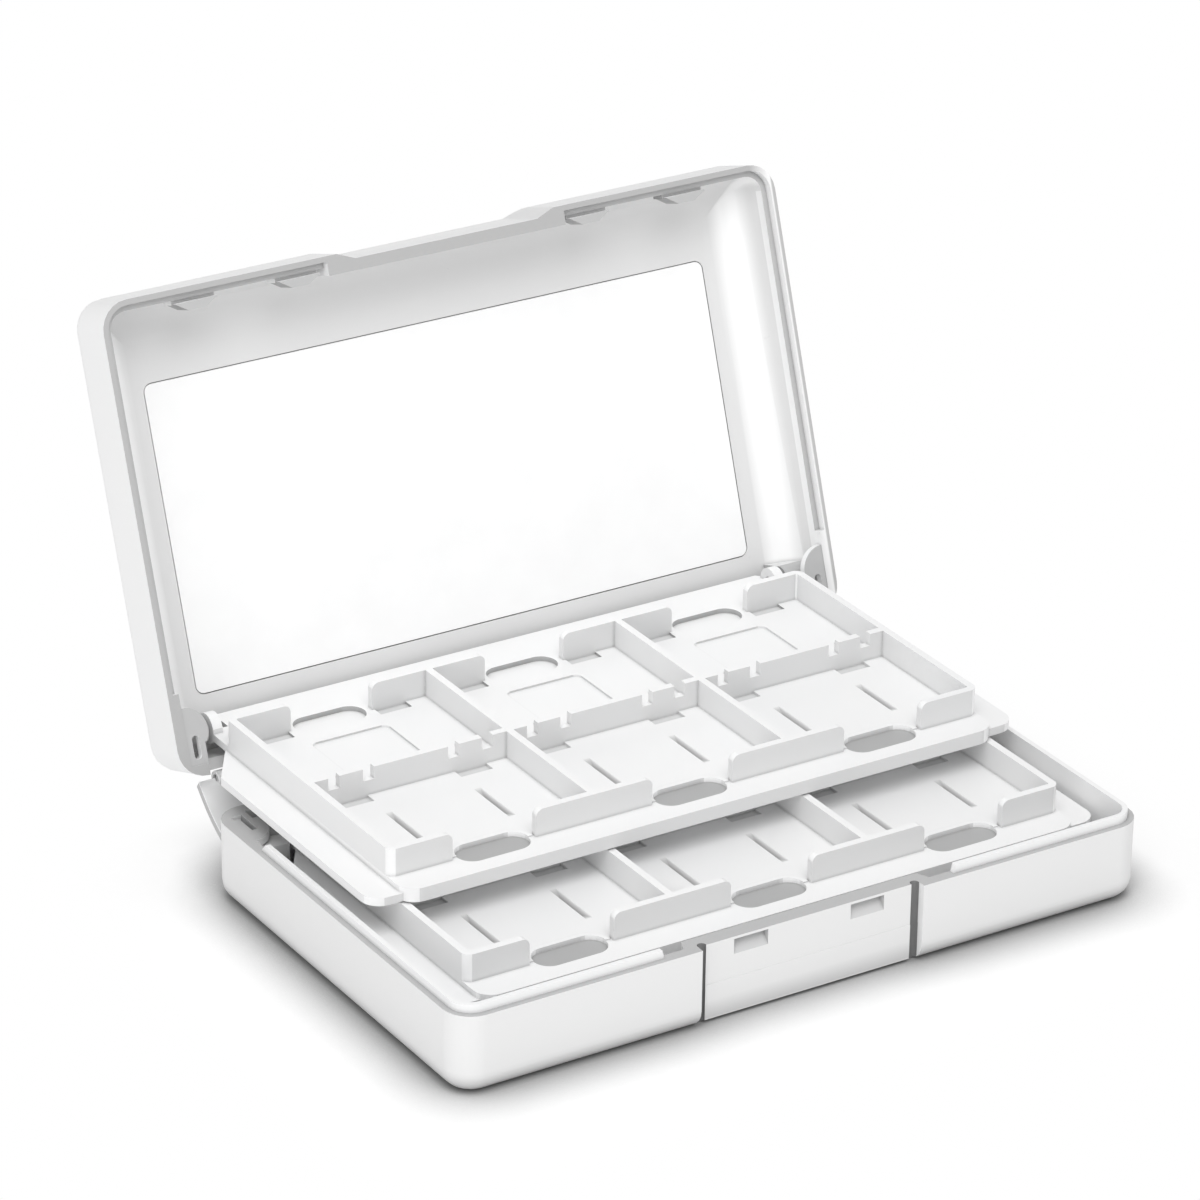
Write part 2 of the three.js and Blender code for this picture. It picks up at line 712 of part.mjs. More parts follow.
function makeLid() {
  const rim = baseHeight + partingGap;
  const below = rim - overrun;
  const outer = roundedBody(bowlLevels(closedTop, rim, edgeRound), caseHalf, caseFront, caseRear, planCorner);
  const inside = roundedBody(
    bowlLevels(lidInside, below, lidInnerRound),
    innerHalf, innerFront, innerRear, planCorner - caseWall, 0,
  );
  const rabbetTop = baseHeight + lipHeight + lipPlay;
  const behindLip = block([-caseHalf, caseHalf], [lipRearEnd + lipSlant, caseRear], [below, rabbetTop]);
  const rabbet = outlineBody(rimLedge - lipPlay, below, rabbetTop).subtract(behindLip);
  const thumbOutline = polygon([
    [-thumbHalf - thumbSlant, caseFront],
    [-thumbHalf - thumbSlant, caseFront - overrun],
    [thumbHalf + thumbSlant, caseFront - overrun],
    [thumbHalf + thumbSlant, caseFront],
    [thumbHalf, caseFront + thumbDepth],
    [-thumbHalf, caseFront + thumbDepth],
  ]);
  const thumbBack = caseFront + thumbDepth + caseWall;
  const thumbEnd = thumbHalf + thumbSlant + caseWall;
  const thumbPad = block([-thumbEnd, thumbEnd], [caseFront, thumbBack], [rim, closedTop]);
  let lid = outer.subtract(inside).subtract(rabbet).add(thumbPad.intersect(outer));
  lid = lid.subtract(plate(thumbOutline, [below, closedTop + overrun]));
  const openingAcross = [-rearOpeningHalf, rearOpeningHalf];
  const openingHeights = [below, baseHeight + lidRearCut];
  lid = lid.subtract(block(openingAcross, [ledgeRear, caseRear + overrun], openingHeights));

  for (const place of clipPlaces) {
    lid = lid.add(lidClip(place, rim));
  }
  const plateLow = baseHeight + cornerPlateGap;
  const plateHeights = [plateLow, plateLow + cornerPlate];
  const plateCut = [plateLow - overrun, plateLow + cornerPlate + overrun];
  for (const side of [-1, 1]) {
    lid = lid.add(pivotBracket(side, pivotHeight, lidInside + bite));
    lid = lid.add(cornerPlateSolid(side, plateHeights)).subtract(roundSlot(side, plateCut));
    lid = lid.add(hingeEar(side, lidAxisHeight, innerRear));
    lid = lid.subtract(pivotBore(side, pivotHeight)).subtract(hingeBore(side, lidAxisHeight));
  }
  const insertPocket = plate(insertOutline(insertPlay), [lidInside - overrun, lidInside + insertRecess]);
  return lid.subtract(insertPocket);
}

function insertOutline(margin) {
  const halfLength = insertLength / 2 + margin;
  const halfWidth = insertWidth / 2 + margin;
  const along = [insertCentre - halfWidth, insertCentre + halfWidth];
  return roundedRectangle([-halfLength, halfLength], along, insertCorner + margin);
}

function makeInsert() {
  const top = lidInside + insertRecess - insertPlay;
  return plate(insertOutline(0), [top - insertThickness, top]);
}

// Curved panel between two barrels, notched round the hinge ears and bored for the pins
function makeSpine() {
  const across = [-spineHalf, spineHalf];
  const outer = [];
  const inner = [];
  for (let step = 0; step <= arcSteps; step += 1) {
    const share = step / arcSteps;
    const height = baseAxisHeight + share * spineLength;
    const y = hingeY + spineBulge * Math.sin(share * Math.PI);
    outer.push([y + spineThickness / 2, height]);
    inner.unshift([y - spineThickness / 2, height]);
  }
  let spine = alongX(polygon([...outer, ...inner]), across);
  for (const height of [baseAxisHeight, lidAxisHeight]) {
    spine = spine.add(rod(barrelRadius, [-barrelHalf, barrelHalf], hingeY, height));
  }
  for (const height of [baseAxisHeight, lidAxisHeight]) {
    for (const side of [-1, 1]) {
      const notchAcross = span(side, hingeEarNear - earGap, hingeEarFar + earGap);
      const notch = rod(barrelRadius + notchGap, notchAcross, hingeY, height);
      spine = spine.subtract(notch).subtract(hingeBore(side, height));
    }
  }
  return spine;
}

function turnAbout(height, angle) {
  const turn = new THREE.Matrix4().makeTranslation(0, hingeY, height);
  turn.multiply(new THREE.Matrix4().makeRotationX(-angle));
  return turn.multiply(new THREE.Matrix4().makeTranslation(0, -hingeY, -height));
}

// Open pose: the two hinges share the opening angle and the upper tray stays level on its pivots
const stay = new THREE.Matrix4();
const spinePose = turnAbout(baseAxisHeight, halfOpen);
const lidPose = spinePose.clone().multiply(turnAbout(lidAxisHeight, halfOpen));
const pivotClosed = new THREE.Vector3(0, pivotY, pivotHeight);
const pivotOpen = pivotClosed.clone().applyMatrix4(lidPose);
const trayShift = pivotOpen.sub(pivotClosed);
const trayPose = new THREE.Matrix4().makeTranslation(trayShift);

const shellPlastic = { color: 0xe6e6e6, roughness: 0.42, metalness: 0 };
const trayPlastic = { color: 0xf2f2f2, roughness: 0.38, metalness: 0 };
const pinPlastic = { color: 0xcfcfcf, roughness: 0.35, metalness: 0 };
const sheetPaper = { color: 0xfcfcfc, roughness: 0.6, metalness: 0 };
const gameCardCase = new THREE.Group();

function addPart(name, shape, look, pose) {
  const { vertProperties, triVerts } = shape.getMesh();
  const geometry = new THREE.BufferGeometry();
  geometry.setAttribute("position", new THREE.BufferAttribute(vertProperties, 3));
  geometry.setIndex(new THREE.BufferAttribute(triVerts, 1));
  geometry.computeVertexNormals();
  const mesh = new THREE.Mesh(geometry, new THREE.MeshStandardMaterial(look));
  mesh.name = name;
  mesh.applyMatrix4(pose);
  gameCardCase.add(mesh);
}

addPart("base_shell", makeBase(), shellPlastic, stay);
addPart("lower_tray", makeTray(lowerFloor), trayPlastic, stay);
addPart("spine_panel", makeSpine(), shellPlastic, spinePose);
addPart("lid_shell", makeLid(), shellPlastic, lidPose);
addPart("lid_insert_sheet", makeInsert(), sheetPaper, lidPose);
addPart("upper_tray", makeTray(upperFloor), trayPlastic, trayPose);
for (const [label, side] of [["left", -1], ["right", 1]]) {
  addPart(`base_hinge_pin_${label}`, hingePin(side, baseAxisHeight), pinPlastic, stay);
  addPart(`lower_pivot_pin_${label}`, pivotPin(side, lowerPivotHeight), pinPlastic, stay);
  addPart(`lid_hinge_pin_${label}`, hingePin(side, lidAxisHeight), pinPlastic, lidPose);
  addPart(`upper_pivot_pin_${label}`, pivotPin(side, pivotHeight), pinPlastic, lidPose);
}

export default gameCardCase;
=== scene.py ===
import json
import math
from collections import namedtuple
import bmesh
import bpy
from mathutils import Matrix, Vector


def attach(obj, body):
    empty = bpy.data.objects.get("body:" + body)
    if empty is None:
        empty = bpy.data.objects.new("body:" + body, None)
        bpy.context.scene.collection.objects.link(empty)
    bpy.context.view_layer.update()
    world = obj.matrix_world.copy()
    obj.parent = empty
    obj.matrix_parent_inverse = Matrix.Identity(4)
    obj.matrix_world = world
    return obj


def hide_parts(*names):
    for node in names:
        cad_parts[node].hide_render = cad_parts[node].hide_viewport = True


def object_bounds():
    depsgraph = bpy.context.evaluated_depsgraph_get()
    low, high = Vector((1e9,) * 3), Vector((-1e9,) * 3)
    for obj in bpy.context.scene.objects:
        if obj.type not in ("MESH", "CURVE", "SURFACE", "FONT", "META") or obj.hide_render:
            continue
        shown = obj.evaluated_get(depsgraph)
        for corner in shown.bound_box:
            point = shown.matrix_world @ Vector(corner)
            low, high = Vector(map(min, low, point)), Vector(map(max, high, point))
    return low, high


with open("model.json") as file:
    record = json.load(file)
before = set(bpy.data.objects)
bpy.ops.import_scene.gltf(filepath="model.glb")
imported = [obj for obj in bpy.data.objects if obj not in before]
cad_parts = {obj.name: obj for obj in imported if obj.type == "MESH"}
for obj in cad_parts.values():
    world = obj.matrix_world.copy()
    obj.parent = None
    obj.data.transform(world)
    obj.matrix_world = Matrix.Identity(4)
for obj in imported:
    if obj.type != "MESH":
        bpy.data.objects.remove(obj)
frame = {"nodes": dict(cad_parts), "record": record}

cad_low, cad_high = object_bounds()
bodies = frame["record"]["behaviour"]["bodies"]
slots = {part["node"]: part["material_slot"] for part in frame["record"]["subparts"]}
scene = bpy.context.scene

# Edge rounding, in metres, for each kind of moulding
SHELL_EDGE = 0.00022
TRAY_EDGE = 0.00014
PIN_EDGE = 0.00010
SHEET_EDGE = 0.00008
EDGE_SEGMENTS = 2
SHARP_ANGLE = math.radians(32)
MERGE_DISTANCE = 2e-6
FLAT_ANGLE = math.radians(0.6)

# Material slots of every piece: its faces, then the rounded strips along its edges, which on the shell and
# trays carry a lighter grey as a painted highlight
FACE_SLOT = 0
EDGE_SLOT = 1

# Heights in the shells and the trays, in metres, that mark faces given painted shade or a painted highlight
# of their own
LIP_HEIGHT = 0.0013
BASE_HEIGHT = 0.0128
RIM_REACH = 0.0015
WALL_HEIGHT = 0.0044
SCOOP_DEPTH = 0.00055
MOULD_MARK_DEPTH = 0.0004
ROCKER_DEPTH = 0.0006
PULL_DEPTH = 0.0008
PULL_FROM_REAR = 0.0128
BOSS_RADIUS = 0.0022
LEVEL_REACH = 0.00006

# Latch bay, in metres: how far its face is set back, its end grooves and its two catch pockets
BAY_DEPTH = 0.0012
BAY_GROOVE_PLACE = 0.0183
BAY_GROOVE_BACK = 0.00145
BAY_GROOVE_RADIUS = 0.0007
CATCH_PLACE = 0.010
CATCH_LENGTH = 0.0058
CATCH_DROP = 0.0004
CATCH_HEIGHT = 0.0025
CATCH_DEPTH = 0.0025

# Joints that open the lid
LID_JOINTS = ("spine_hinge", "lid_hinge")

# Lid clips, in metres: places across, half length, and depth of the band behind the front edge
CLIP_PLACES = (0.0255, 0.0430)
CLIP_HALF = 0.0037
CLIP_BAND = 0.0041

# Up, and the share of a normal that marks a face as looking one way, sloping or turned aside
UP = Vector((0.0, 0.0, 1.0))
FACING = 0.97
SLOPING = 0.4
SIDEWAYS = 0.3

# Skins of the plastics: roughness, scale of the grain, height of the grain in metres
Skin = namedtuple("Skin", "roughness grain grain_height")
SATIN = Skin(0.36, 4200.0, 0.00002)
POLISHED = Skin(0.30, 4200.0, 0.00002)
SMOOTH = Skin(0.30, 5200.0, 0.00002)
MATT = Skin(0.50, 5200.0, 0.00002)
TRAY_SKIN = Skin(0.40, 5200.0, 0.000015)
# Glossier skins for the edge strips that carry a painted highlight
SHELL_EDGE_SKIN = Skin(0.28, 3000.0, 0.00001)
TRAY_EDGE_SKIN = Skin(0.30, 3000.0, 0.00001)
PIN_SKIN = Skin(0.34, 3000.0, 0.00001)

# Plain plastics: grey level, how much darker the clouds in it are, and skin. Past the plain shell, tray and
# pin plastics, each is painted light: a painted highlight on edge strips, a lighter grey lifting the shade
# on the base's lip and inside, and darker greys as painted shade on rims, bosses, grooves, pockets, clips,
# walls, scoops and marks
PLAIN_PLASTICS = {
    "shell_plastic": (0.87, 0.012, SATIN),
    "shell_edge_highlight": (0.93, 0.020, SHELL_EDGE_SKIN),
    "shell_painted_shade": (0.50, 0.015, MATT),
    "shell_painted_light": (0.90, 0.012, POLISHED),
    "shell_groove_shade": (0.24, 0.015, MATT),
    "shell_catch_shade": (0.60, 0.015, MATT),
    "clip_end": (0.34, 0.015, MATT),
    "tray_plastic": (0.90, 0.010, TRAY_SKIN),
    "tray_front_shade": (0.71, 0.010, TRAY_SKIN),
    "tray_side_shade": (0.80, 0.010, TRAY_SKIN),
    "tray_edge_highlight": (0.94, 0.020, TRAY_EDGE_SKIN),
    "tray_scoop_shade": (0.44, 0.015, MATT),
    "tray_mould_mark_shade": (0.70, 0.012, MATT),
    "pin_plastic": (0.72, 0.020, PIN_SKIN),
}

# Painted shade and highlight on the lid's lining, by how far a face turns to the side: painted shade on the
# flat panel, a painted highlight on the rounded side, painted shade again on the upright side
LINING_SHADING_STOPS = ((0.2, 0.73), (0.5, 0.93), (0.8, 0.95), (0.97, 0.73))

# Painted shade and highlight on the lid's rim by how far right it lies: painted shade on the left side and
# middle, a painted highlight on the right side, a painted dark outermost line
RIM_SHADING_STOPS = ((0.93, 0.46), (0.985, 0.90), (0.9905, 0.90), (0.992, 0.50))

# Painted shade in a rocker groove, darker from its edge to its bottom
ROCKER_SHADE_STOPS = ((0.0, 0.84), (0.3, 0.62), (1.0, 0.44))

# Painted shade on the base's outside from its bottom edge up to its rim: a bright painted line at the
# bottom edge, a darker painted band above it, then an even painted shade up to the rim
SIDE_SHADING_STOPS = ((0.02, 0.90), (0.07, 0.60), (0.28, 0.785))

# Plastics whose grey changes over the piece as painted shade and painted highlight: what guides it, grey at
# each stop, and skin
GUIDED_PLASTICS = {
    "lid_lining_shade_and_highlight": ("side", LINING_SHADING_STOPS, SMOOTH),
    "lid_rim_shade_and_highlight": ("width", RIM_SHADING_STOPS, MATT),
    "base_side_painted_shade": ("height", SIDE_SHADING_STOPS, SATIN),
    "tray_rocker_groove_shade": ("depth", ROCKER_SHADE_STOPS, MATT),
}
SUNK_NAME = "sunk"

# Plastic: soft clouds in its tone, rubbed patches in its gloss, fine relief, and painted shade in its
# creases
CLOUD_SCALE = 55.0
CLOUD_DETAIL = 3.0
CLOUD_SPAN = (0.3, 0.7)
CLOUD_TINT = 0.004
RUB_SCALE = 320.0
RUB_DETAIL = 5.0
RUB_GLOSSIER = 0.06
RUB_DULLER = 0.08
GRAIN_DETAIL = 2.0
GRAIN_STRENGTH = 0.25
CREASE_SAMPLES = 6
CREASE_REACH = 0.0006
CREASE_SHADE = 0.45
PLASTIC_IOR = 1.49
PLASTIC_SHINE = 0.4

# Insert sheet: tones of its clouds and relief of its fibres
SHEET_TONES = (0.925, 0.945)
SHEET_CLOUD_SCALE = 140.0
SHEET_CLOUD_DETAIL = 6.0
SHEET_CLOUD_SPAN = (0.35, 0.65)
SHEET_ROUGHNESS = 0.55
FIBRE_SCALE = 2600.0
FIBRE_DETAIL = 3.0
FIBRE_STRENGTH = 0.12
FIBRE_HEIGHT = 0.00003

# Floor: half its width and the fade to white in metres, its tone, and the shade where things touch it
FLOOR_HALF = 4.0
FLOOR_FADE = 0.024
FLOOR_LEVEL = 0.97
FLOOR_ROUGHNESS = 0.9
CONTACT_SAMPLES = 8
CONTACT_REACH = 0.0095
CONTACT_SHADE = 0.65
CONTACT_FULL = 0.4

# Light: level of the surroundings, then each lamp's place, aim and size in metres and power in watts
WORLD_LEVEL = 0.60
LAMPS = {
    "key_softbox": ((-0.25, -0.5, 1.0), (0.0, 0.02, 0.02), (0.9, 0.7), 7.0),
    "left_strip": ((-0.81, -0.46, 0.14), (0.05, 0.05, 0.05), (0.5, 0.3), 1.2),
}

# Camera as found from the photograph, angles in degrees and lengths in metres
IMAGE_SIZE = 1200
SENSOR = 36.0
VIEW_AZIMUTH = -32.273
VIEW_ELEVATION = 25.466
VIEW_ROLL = 0.819
FOCAL_PIXELS = 5604.5
VIEW_DISTANCE = 0.8332
VIEW_AIM = Vector((0.0, 0.015, 0.025))
VIEW_RIGHT = -0.00385
VIEW_UP = 0.01542
CLIP_NEAR = 0.01
CLIP_FAR = 20.0


# Building blocks of the materials

def grey(level, tint=0.0):
    return (level * (1 - tint), level, level * (1 + tint), 1.0)


def material_tree(name):
    material = bpy.data.materials.new(name)
    material.use_nodes = True
    nodes = material.node_tree.nodes
    links = material.node_tree.links
    shader = nodes["Principled BSDF"]
    return material, nodes, links, shader


def noise(nodes, links, place, scale, detail):
    texture = nodes.new("ShaderNodeTexNoise")
    texture.inputs["Scale"].default_value = scale
    texture.inputs["Detail"].default_value = detail
    links.new(place.outputs["Object"], texture.inputs["Vector"])
    return texture.outputs["Fac"]


# Colours along a value, given as pairs of a position and a colour
def colour_ramp(nodes, links, source, stops):
    ramp = nodes.new("ShaderNodeValToRGB")
    elements = ramp.color_ramp.elements
    while len(elements) < len(stops):
        elements.new(1.0)
    for element, (position, colour) in zip(elements, stops):
        element.position = position
        element.color = colour
    links.new(source, ramp.inputs["Fac"])
    return ramp.outputs["Color"]


# One step of arithmetic on a value, with a second value or a fixed number where it needs one
def arithmetic(nodes, links, operation, first, second=None, number=None):
    step = nodes.new("ShaderNodeMath")
    step.operation = operation
    links.new(first, step.inputs[0])
    if second is not None:
        links.new(second, step.inputs[1])
    if number is not None:
        step.inputs[1].default_value = number
    return step.outputs["Value"]


def vector_step(nodes, links, operation, source, operand=None):
    step = nodes.new("ShaderNodeVectorMath")
    step.operation = operation
    links.new(source, step.inputs[0])
    if operand is not None:
        step.inputs[1].default_value = operand
    return step


# Fine bumps that follow a pattern
def add_relief(nodes, links, shader, pattern, strength, height):
    relief = nodes.new("ShaderNodeBump")
    relief.inputs["Strength"].default_value = strength
    relief.inputs["Distance"].default_value = height
    links.new(pattern, relief.inputs["Height"])
    links.new(relief.outputs["Normal"], shader.inputs["Normal"])


# What guides a tone over a piece

def vector_part(nodes, links, vector, axis):
    parts = nodes.new("ShaderNodeSeparateXYZ")
    links.new(vector, parts.inputs["Vector"])
    return parts.outputs[axis]


def side_facing(nodes, links, place):
    sideways = vector_part(nodes, links, place.outputs["Normal"], "X")
    return arithmetic(nodes, links, "ABSOLUTE", sideways)


def share_of_width(nodes, links, place):
    across = vector_part(nodes, links, place.outputs["Object"], "X")
    return arithmetic(nodes, links, "DIVIDE", across, number=cad_high[0])


def share_of_base_height(nodes, links, place):
    height = vector_part(nodes, links, place.outputs["Object"], "Z")
    return arithmetic(nodes, links, "DIVIDE", height, number=BASE_HEIGHT)


def sunk_share(nodes, links, place):
    sunk = nodes.new("ShaderNodeAttribute")
    sunk.attribute_name = SUNK_NAME
    return sunk.outputs["Fac"]


guides = {
    "side": side_facing,
    "width": share_of_width,
    "height": share_of_base_height,
    "depth": sunk_share,
}


# Moulded plastic

def clouded_tone(nodes, links, place, level, spread):
    clouds = noise(nodes, links, place, CLOUD_SCALE, CLOUD_DETAIL)
    low, high = CLOUD_SPAN
    return colour_ramp(nodes, links, clouds, ((low, grey(level - spread, CLOUD_TINT)), (high, grey(level))))


def guided_tone(nodes, links, place, guide, stops):
    amount = guides[guide](nodes, links, place)
    return colour_ramp(nodes, links, amount, [(position, grey(level)) for position, level in stops])


# Painted shade: darker in creases and tight corners, by ambient occlusion
def shaded_creases(nodes, links, tone):
    creases = nodes.new("ShaderNodeAmbientOcclusion")
    creases.samples = CREASE_SAMPLES
    creases.inputs["Distance"].default_value = CREASE_REACH
    shade = nodes.new("ShaderNodeMapRange")
    shade.inputs["To Min"].default_value = 1.0 - CREASE_SHADE
    links.new(creases.outputs["AO"], shade.inputs["Value"])
    shaded = vector_step(nodes, links, "SCALE", tone)
    links.new(shade.outputs["Result"], shaded.inputs["Scale"])
    return shaded.outputs["Vector"]


def moulded_plastic(name, add_tone, tone_values, skin):
    material, nodes, links, shader = material_tree(name)
    place = nodes.new("ShaderNodeTexCoord")
    tone = add_tone(nodes, links, place, *tone_values)
    links.new(shaded_creases(nodes, links, tone), shader.inputs["Base Color"])

    gloss = nodes.new("ShaderNodeMapRange")
    gloss.inputs["To Min"].default_value = skin.roughness - RUB_GLOSSIER
    gloss.inputs["To Max"].default_value = skin.roughness + RUB_DULLER
    links.new(noise(nodes, links, place, RUB_SCALE, RUB_DETAIL), gloss.inputs["Value"])
    links.new(gloss.outputs["Result"], shader.inputs["Roughness"])

    grain = noise(nodes, links, place, skin.grain, GRAIN_DETAIL)
    add_relief(nodes, links, shader, grain, GRAIN_STRENGTH, skin.grain_height)
    shader.inputs["IOR"].default_value = PLASTIC_IOR
    shader.inputs["Specular IOR Level"].default_value = PLASTIC_SHINE
    return material


plastics = {}
for name, (level, spread, skin) in PLAIN_PLASTICS.items():
    plastics[name] = moulded_plastic(name, clouded_tone, (level, spread), skin)
for name, (guide, stops, skin) in GUIDED_PLASTICS.items():
    plastics[name] = moulded_plastic(name, guided_tone, (guide, stops), skin)


# Insert sheet's stock

def sheet_stock(name):
    material, nodes, links, shader = material_tree(name)
    place = nodes.new("ShaderNodeTexCoord")
    clouds = noise(nodes, links, place, SHEET_CLOUD_SCALE, SHEET_CLOUD_DETAIL)
    stops = [(position, grey(level)) for position, level in zip(SHEET_CLOUD_SPAN, SHEET_TONES)]
    links.new(colour_ramp(nodes, links, clouds, stops), shader.inputs["Base Color"])
    fibres = noise(nodes, links, place, FIBRE_SCALE, FIBRE_DETAIL)
    add_relief(nodes, links, shader, fibres, FIBRE_STRENGTH, FIBRE_HEIGHT)
    shader.inputs["Roughness"].default_value = SHEET_ROUGHNESS
    return material


insert_stock = sheet_stock("insert_sheet")


# Painted shade and highlights on single faces, picked by where a face lies and which way it looks

def add_slot(mesh, material_name):
    mesh.materials.append(plastics[material_name])
    return len(mesh.materials) - 1


def farthest(mesh, direction):
    return max(point.co.dot(direction) for point in mesh.vertices)


def level_faces(mesh, direction, level, reach, material_name):
    slot = add_slot(mesh, material_name)
    for face in mesh.polygons:
        at_level = abs(face.center.dot(direction) - level) < reach
        if at_level and face.normal.dot(direction) > FACING:
            face.material_index = slot


def boss_faces(mesh, pin_name, material_name):
    pin = frame["nodes"][pin_name].data.vertices
    axis = sum((point.co for point in pin), Vector()) / len(pin)
    slot = add_slot(mesh, material_name)
    for face in mesh.polygons:
        away = face.center - axis
        if math.hypot(away.y, away.z) < BOSS_RADIUS + LEVEL_REACH:
            face.material_index = slot


def paint_base_shading(mesh):
    rim = farthest(mesh, UP) - LIP_HEIGHT
    front = min(point.co.y for point in mesh.vertices)
    bay_front = front + BAY_DEPTH
    groove_axis = front + BAY_GROOVE_BACK
    catch_top = rim - CATCH_DROP
    middle = Vector((0.0, 0.0, rim))
    # Painted light: the lip and the faces inside the base take a lighter grey that lifts the shade in there
    lip = add_slot(mesh, "shell_painted_light")
    # Painted shade: the bay's end grooves and the upright backs of the catch pockets take a near black
    # grey, the rest of each pocket a mid grey
    groove = add_slot(mesh, "shell_groove_shade")
    pocket = add_slot(mesh, "shell_catch_shade")
    # Painted shade on the outer sides, with a painted bright line at the bottom edge
    side = add_slot(mesh, "base_side_painted_shade")
    for face in mesh.polygons:
        center = face.center
        off_groove = math.hypot(abs(center.x) - BAY_GROOVE_PLACE, center.y - groove_axis)
        beside_catch = abs(abs(center.x) - CATCH_PLACE) < CATCH_LENGTH / 2 + LEVEL_REACH
        in_catch = catch_top - CATCH_HEIGHT < center.z < catch_top + LEVEL_REACH
        behind_bay = bay_front + 2 * LEVEL_REACH < center.y < bay_front + CATCH_DEPTH
        plain = face.material_index == FACE_SLOT
        if center.z > rim + LEVEL_REACH and plain:
            face.material_index = lip
        elif off_groove < BAY_GROOVE_RADIUS + LEVEL_REACH:
            face.material_index = groove
        elif beside_catch and in_catch and behind_bay:
            upright = face.normal.y < -FACING
            face.material_index = groove if upright else pocket
        elif plain and face.normal.dot(middle - center) > 0.0:
            face.material_index = lip
        elif plain and face.normal.z > -FACING:
            face.material_index = side
    # Painted shade on the rim's ledge and the pivot boss
    level_faces(mesh, UP, rim, LEVEL_REACH, "shell_painted_shade")
    boss_faces(mesh, "lower_pivot_pin_left", "shell_painted_shade")


# Directions of the lid as it stands open: out of its rim, and from its hinge to its front edge
def lid_directions():
    joints = frame["record"]["behaviour"]["joints"]
    ranges = [joint["range_deg"] for joint in joints if joint["name"] in LID_JOINTS]
    opening = math.radians(sum(high - low for low, high in ranges))
    outward = Vector((0.0, -math.sin(opening), -math.cos(opening)))
    forward = Vector((0.0, -math.cos(opening), math.sin(opening)))
    return outward, forward


def paint_lid_shading(mesh):
    outward, forward = lid_directions()
    rim = farthest(mesh, outward)
    front_edge = farthest(mesh, forward)
    middle = sum((point.co for point in mesh.vertices), Vector()) / len(mesh.vertices)
    middle += outward * (rim - middle.dot(outward))
    # Painted shade on the lining's flat panel and a painted highlight on its rounded sides
    lining = add_slot(mesh, "lid_lining_shade_and_highlight")
    # Painted shade on the clips: their slanted ends darkest, their other inward faces mid grey
    clip_end = add_slot(mesh, "clip_end")
    clip_face = add_slot(mesh, "shell_catch_shade")
    for face in mesh.polygons:
        center = face.center
        depth = rim - center.dot(outward)
        looks_in = face.normal.dot(middle - center) > 0.0
        by_clip = min(abs(abs(center.x) - place) for place in CLIP_PLACES) < CLIP_HALF
        at_front = front_edge - center.dot(forward) < CLIP_BAND
        if by_clip and at_front and looks_in and depth > LEVEL_REACH:
            face.material_index = clip_end if abs(face.normal.x) > SIDEWAYS else clip_face
        elif depth > RIM_REACH and looks_in and face.material_index == FACE_SLOT:
            face.material_index = lining
    # Painted shade on the rim's step, painted shade and highlight across the outermost rim plane, and a
    # painted dark outline along its rounded edge
    level_faces(mesh, outward, rim, RIM_REACH, "shell_painted_shade")
    level_faces(mesh, outward, rim, LEVEL_REACH, "lid_rim_shade_and_highlight")
    outline = add_slot(mesh, "shell_painted_shade")
    for face in mesh.polygons:
        by_rim = rim - face.center.dot(outward) < SHELL_EDGE
        if face.material_index == EDGE_SLOT and by_rim:
            face.material_index = outline
    # Painted shade on the pivot boss
    boss_faces(mesh, "upper_pivot_pin_left", "shell_painted_shade")


def paint_tray_shading(mesh):
    floor_level = farthest(mesh, UP) - WALL_HEIGHT
    rear = max(point.co.y for point in mesh.vertices) - PULL_FROM_REAR
    # How far each point sits below the floor, which guides the painted shade in the rocker grooves
    sunk = mesh.attributes.new(SUNK_NAME, "FLOAT", "POINT")
    for point in mesh.vertices:
        sunk.data[point.index].value = min(max((floor_level - point.co.z) / ROCKER_DEPTH, 0.0), 1.0)
    # Painted shade in the finger scoops and the mould marks
    level_faces(mesh, UP, floor_level - SCOOP_DEPTH, LEVEL_REACH, "tray_scoop_shade")
    level_faces(mesh, UP, floor_level - MOULD_MARK_DEPTH, LEVEL_REACH, "tray_mould_mark_shade")
    # Painted shade: darker greys on front walls and side walls by which way they face, on the rocker
    # grooves' slopes and on the pull recess's walls
    front_wall = add_slot(mesh, "tray_front_shade")
    side_wall = add_slot(mesh, "tray_side_shade")
    groove = add_slot(mesh, "tray_rocker_groove_shade")
    pull = add_slot(mesh, "tray_scoop_shade")
    for face in mesh.polygons:
        tilt = face.normal.z
        plain = face.material_index == FACE_SLOT
        sunken = LEVEL_REACH < floor_level - face.center.z < PULL_DEPTH
        if sunken and abs(tilt) < SLOPING and face.center.y > rear:
            face.material_index = pull
        elif sunken and SLOPING < tilt < FACING:
            face.material_index = groove
        elif plain and face.normal.y < -FACING:
            face.material_index = front_wall
        elif plain and abs(face.normal.x) > FACING:
            face.material_index = side_wall


def paint_spine_shading(mesh):
    # Painted shade on the spine's ends
    ends = add_slot(mesh, "shell_painted_shade")
    for face in mesh.polygons:
        if abs(face.normal.x) > FACING:
            face.material_index = ends


# Painted light and shade for each piece that has it
painted_shading = {
    "base_shell": paint_base_shading,
    "lid_shell": paint_lid_shading,
    "lower_tray": paint_tray_shading,
    "upper_tray": paint_tray_shading,
    "spine_panel": paint_spine_shading,
}


# Pieces: each moulding is a softened copy of its solid, with rounded edges whose strips carry a painted
# highlight

